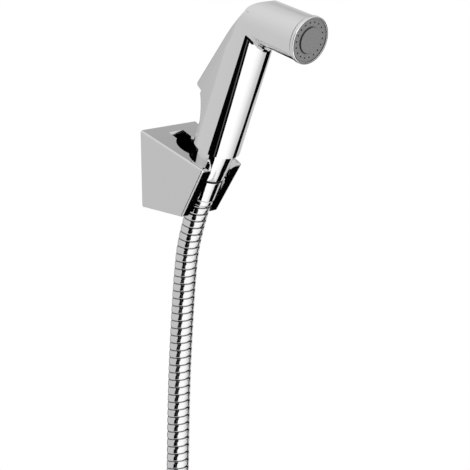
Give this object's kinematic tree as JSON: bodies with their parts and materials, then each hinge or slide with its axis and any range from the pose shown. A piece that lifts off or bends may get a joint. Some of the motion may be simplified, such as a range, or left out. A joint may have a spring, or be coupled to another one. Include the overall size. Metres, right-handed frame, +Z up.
{
  "type": "handheld bidet shower",
  "caption": "Handheld trigger bidet spray in a tapered wall bracket, with a cone nut and a ribbed metal hose put away in a tied coil.",
  "frame": {"origin": "centre of the bracket's wall face", "axes": "+Y into the wall, +Z up, +X to the right for someone facing the wall"},
  "size_m": [0.195, 0.1271, 0.5485],
  "materials": {
    "chromed_shell": "polished",
    "chromed_bracket": "polished",
    "chromed_fittings": "polished",
    "steel_hose": "polished",
    "stainless_steel": "drawn wire and pin",
    "brass": "turned",
    "white_plastic": "moulded",
    "grey_plastic": "satin moulded",
    "black_rubber": "moulded",
    "nylon_tie": "moulded"
  },
  "bodies": {
    "base": {"handset_body": "chromed_shell", "face_ring": "chromed_shell", "wall_bracket": "chromed_bracket", "trigger_pin": "stainless_steel", "valve_spring": "stainless_steel", "valve_body": "white_plastic", "valve_plug": "white_plastic", "water_tube": "white_plastic", "head_insert": "white_plastic", "stem_seal": "black_rubber", "inlet_seal": "black_rubber", "face_gasket": "black_rubber", "handset_washer": "black_rubber", "inlet_connector": "brass", "upper_nipple": "brass", "lower_nipple": "brass", "spray_plate": "grey_plastic", "cone_nut": "chromed_fittings", "upper_ferrule": "chromed_fittings", "lower_ferrule": "chromed_fittings", "hose_run": "steel_hose", "hose_coil": "steel_hose", "hose_tail": "steel_hose", "hose_tie": "nylon_tie"},
    "trigger": {"trigger_lever": "chromed_shell"},
    "valve_stem_body": {"valve_stem": "white_plastic"},
    "wall_nut_body": {"wall_nut": "chromed_fittings", "wall_washer": "black_rubber"}
  },
  "joints": [
    {"name": "trigger_hinge", "type": "hinge", "parent": "base", "child": "trigger", "pos_m": [0, -0.08126, 0.09763], "axis": [-1, 0, 0], "range_deg": [0, 5], "stiffness_Nm_per_rad": 2, "springref_deg": -5.73},
    {"name": "valve_slide", "type": "slide", "parent": "base", "child": "valve_stem_body", "axis": [0, -0.9245, -0.3811], "range_m": [0, 0.00254], "deforming": ["valve_spring"]},
    {"name": "wall_nut_spin", "type": "hinge", "parent": "base", "child": "wall_nut_body", "pos_m": [0.10822, -0.03505, -0.311], "axis": [0.22, -0.2079, 0.9531], "continuous": true}
  ],
  "couplings": [
    {"joint": "valve_slide", "follows": "trigger_hinge", "m_per_rad": 0.029}
  ]
}
